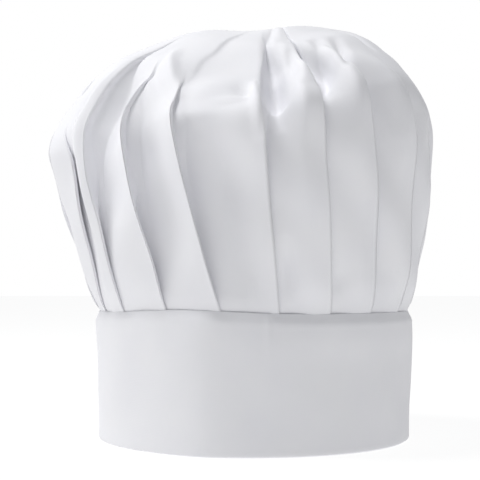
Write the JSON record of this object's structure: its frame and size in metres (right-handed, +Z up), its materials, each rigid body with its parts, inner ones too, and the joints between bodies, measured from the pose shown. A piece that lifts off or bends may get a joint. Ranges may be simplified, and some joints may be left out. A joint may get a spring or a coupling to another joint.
{
  "type": "chef toque",
  "caption": "Pleated cloth chef's toque: a stiffened double-ply band, a puffed crown in knife pleats, and a hook-and-loop flap closure at the back.",
  "frame": {"origin": "centre of the head opening, in the plane of the rim", "axes": "+Z up through the crown, -Y to the front of the hat, +Y to the closure at the back, +X to the right of someone who looks at the front"},
  "size_m": [0.2449, 0.245, 0.258],
  "materials": {
    "crown_cloth": "white polycotton poplin, pressed",
    "band_cloth": "white polycotton poplin over buckram, pressed smooth",
    "buckram": "stiff non-woven interlining",
    "loop_tape": "brushed nylon loop pile, matt",
    "hook_tape": "woven nylon tape with cut hooks, slight sheen",
    "label_satin": "woven satin label, blank",
    "thread": "white polyester sewing thread"
  },
  "bodies": {
    "hat": {"band": "band_cloth", "band_stiffener": "buckram", "crown": "crown_cloth", "loop_strip": "loop_tape", "care_label": "label_satin", "crown_seam_thread": "thread", "loop_strip_thread": "thread", "label_thread": "thread", "vent_hem_thread": "thread", "vent_bartack": "thread"},
    "flap": {"closure_flap": "band_cloth", "flap_stiffener": "buckram", "hook_strip": "hook_tape", "hook_strip_thread": "thread", "flap_edge_thread": "thread"}
  },
  "joints": [
    {"name": "flap_peel", "type": "hinge", "parent": "hat", "child": "flap", "pos_m": [0.00235, 0.09757, 0.04], "axis": [0, 0, -1], "range_deg": [0, 120]}
  ]
}
